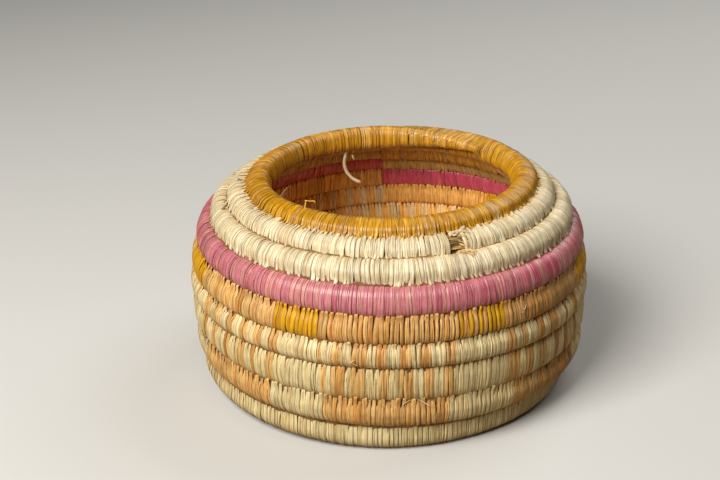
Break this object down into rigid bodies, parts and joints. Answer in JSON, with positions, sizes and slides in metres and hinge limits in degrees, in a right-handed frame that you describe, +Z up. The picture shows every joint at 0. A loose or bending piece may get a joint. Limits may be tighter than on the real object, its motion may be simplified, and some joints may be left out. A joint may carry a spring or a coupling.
{
  "type": "coiled basket",
  "caption": "Round coiled basket with a wide belly, a flat base and a narrower open mouth, sewn with raffia in cream, peach, ochre and magenta bands.",
  "frame": {"origin": "middle of the flat base, on the surface it stands on, under the knot that the coil starts from", "axes": "+Z up out of the mouth; -Y is the front, with the splice in the neck to its right; the coil changes colour at the back, +Y"},
  "size_m": [0.204, 0.2036, 0.1101],
  "materials": {
    "cream_raffia": "undyed raffia strips, sewn close, satin",
    "peach_raffia": "peach-dyed raffia strips, sewn close, satin",
    "ochre_raffia": "ochre-dyed raffia strips, sewn close, satin",
    "magenta_raffia": "magenta-dyed raffia strips, sewn close, glossy where they catch light",
    "grass": "bundle of dry grass stems, matt"
  },
  "bodies": {
    "root": {"grass_core": "grass", "start_knot": "cream_raffia", "base_wrap": "cream_raffia", "foot_wrap": "cream_raffia", "block_wrap_1": "peach_raffia", "block_wrap_2": "peach_raffia", "block_wrap_3": "peach_raffia", "block_wrap_4": "peach_raffia", "block_wrap_5": "peach_raffia", "block_wrap_6": "peach_raffia", "block_wrap_7": "peach_raffia", "cream_block_1": "cream_raffia", "cream_block_2": "cream_raffia", "cream_block_3": "cream_raffia", "cream_block_4": "cream_raffia", "cream_block_5": "cream_raffia", "cream_block_6": "cream_raffia", "lower_check_wrap": "cream_raffia", "upper_check_wrap": "peach_raffia", "peach_wrap_1": "peach_raffia", "peach_wrap_2": "peach_raffia", "peach_wrap_3": "peach_raffia", "peach_wrap_4": "peach_raffia", "peach_wrap_5": "peach_raffia", "peach_wrap_6": "peach_raffia", "peach_wrap_7": "peach_raffia", "ochre_block_1": "ochre_raffia", "ochre_block_2": "ochre_raffia", "ochre_block_3": "ochre_raffia", "ochre_block_4": "ochre_raffia", "ochre_block_5": "ochre_raffia", "ochre_block_6": "ochre_raffia", "magenta_wrap": "magenta_raffia", "shoulder_wrap": "cream_raffia", "neck_wrap_right": "cream_raffia", "neck_wrap_left": "cream_raffia", "rim_wrap": "ochre_raffia", "rim_end_wrap": "ochre_raffia", "loose_strand": "cream_raffia", "splice_strip_end": "cream_raffia", "splice_grass_end": "grass"}
  },
  "joints": []
}
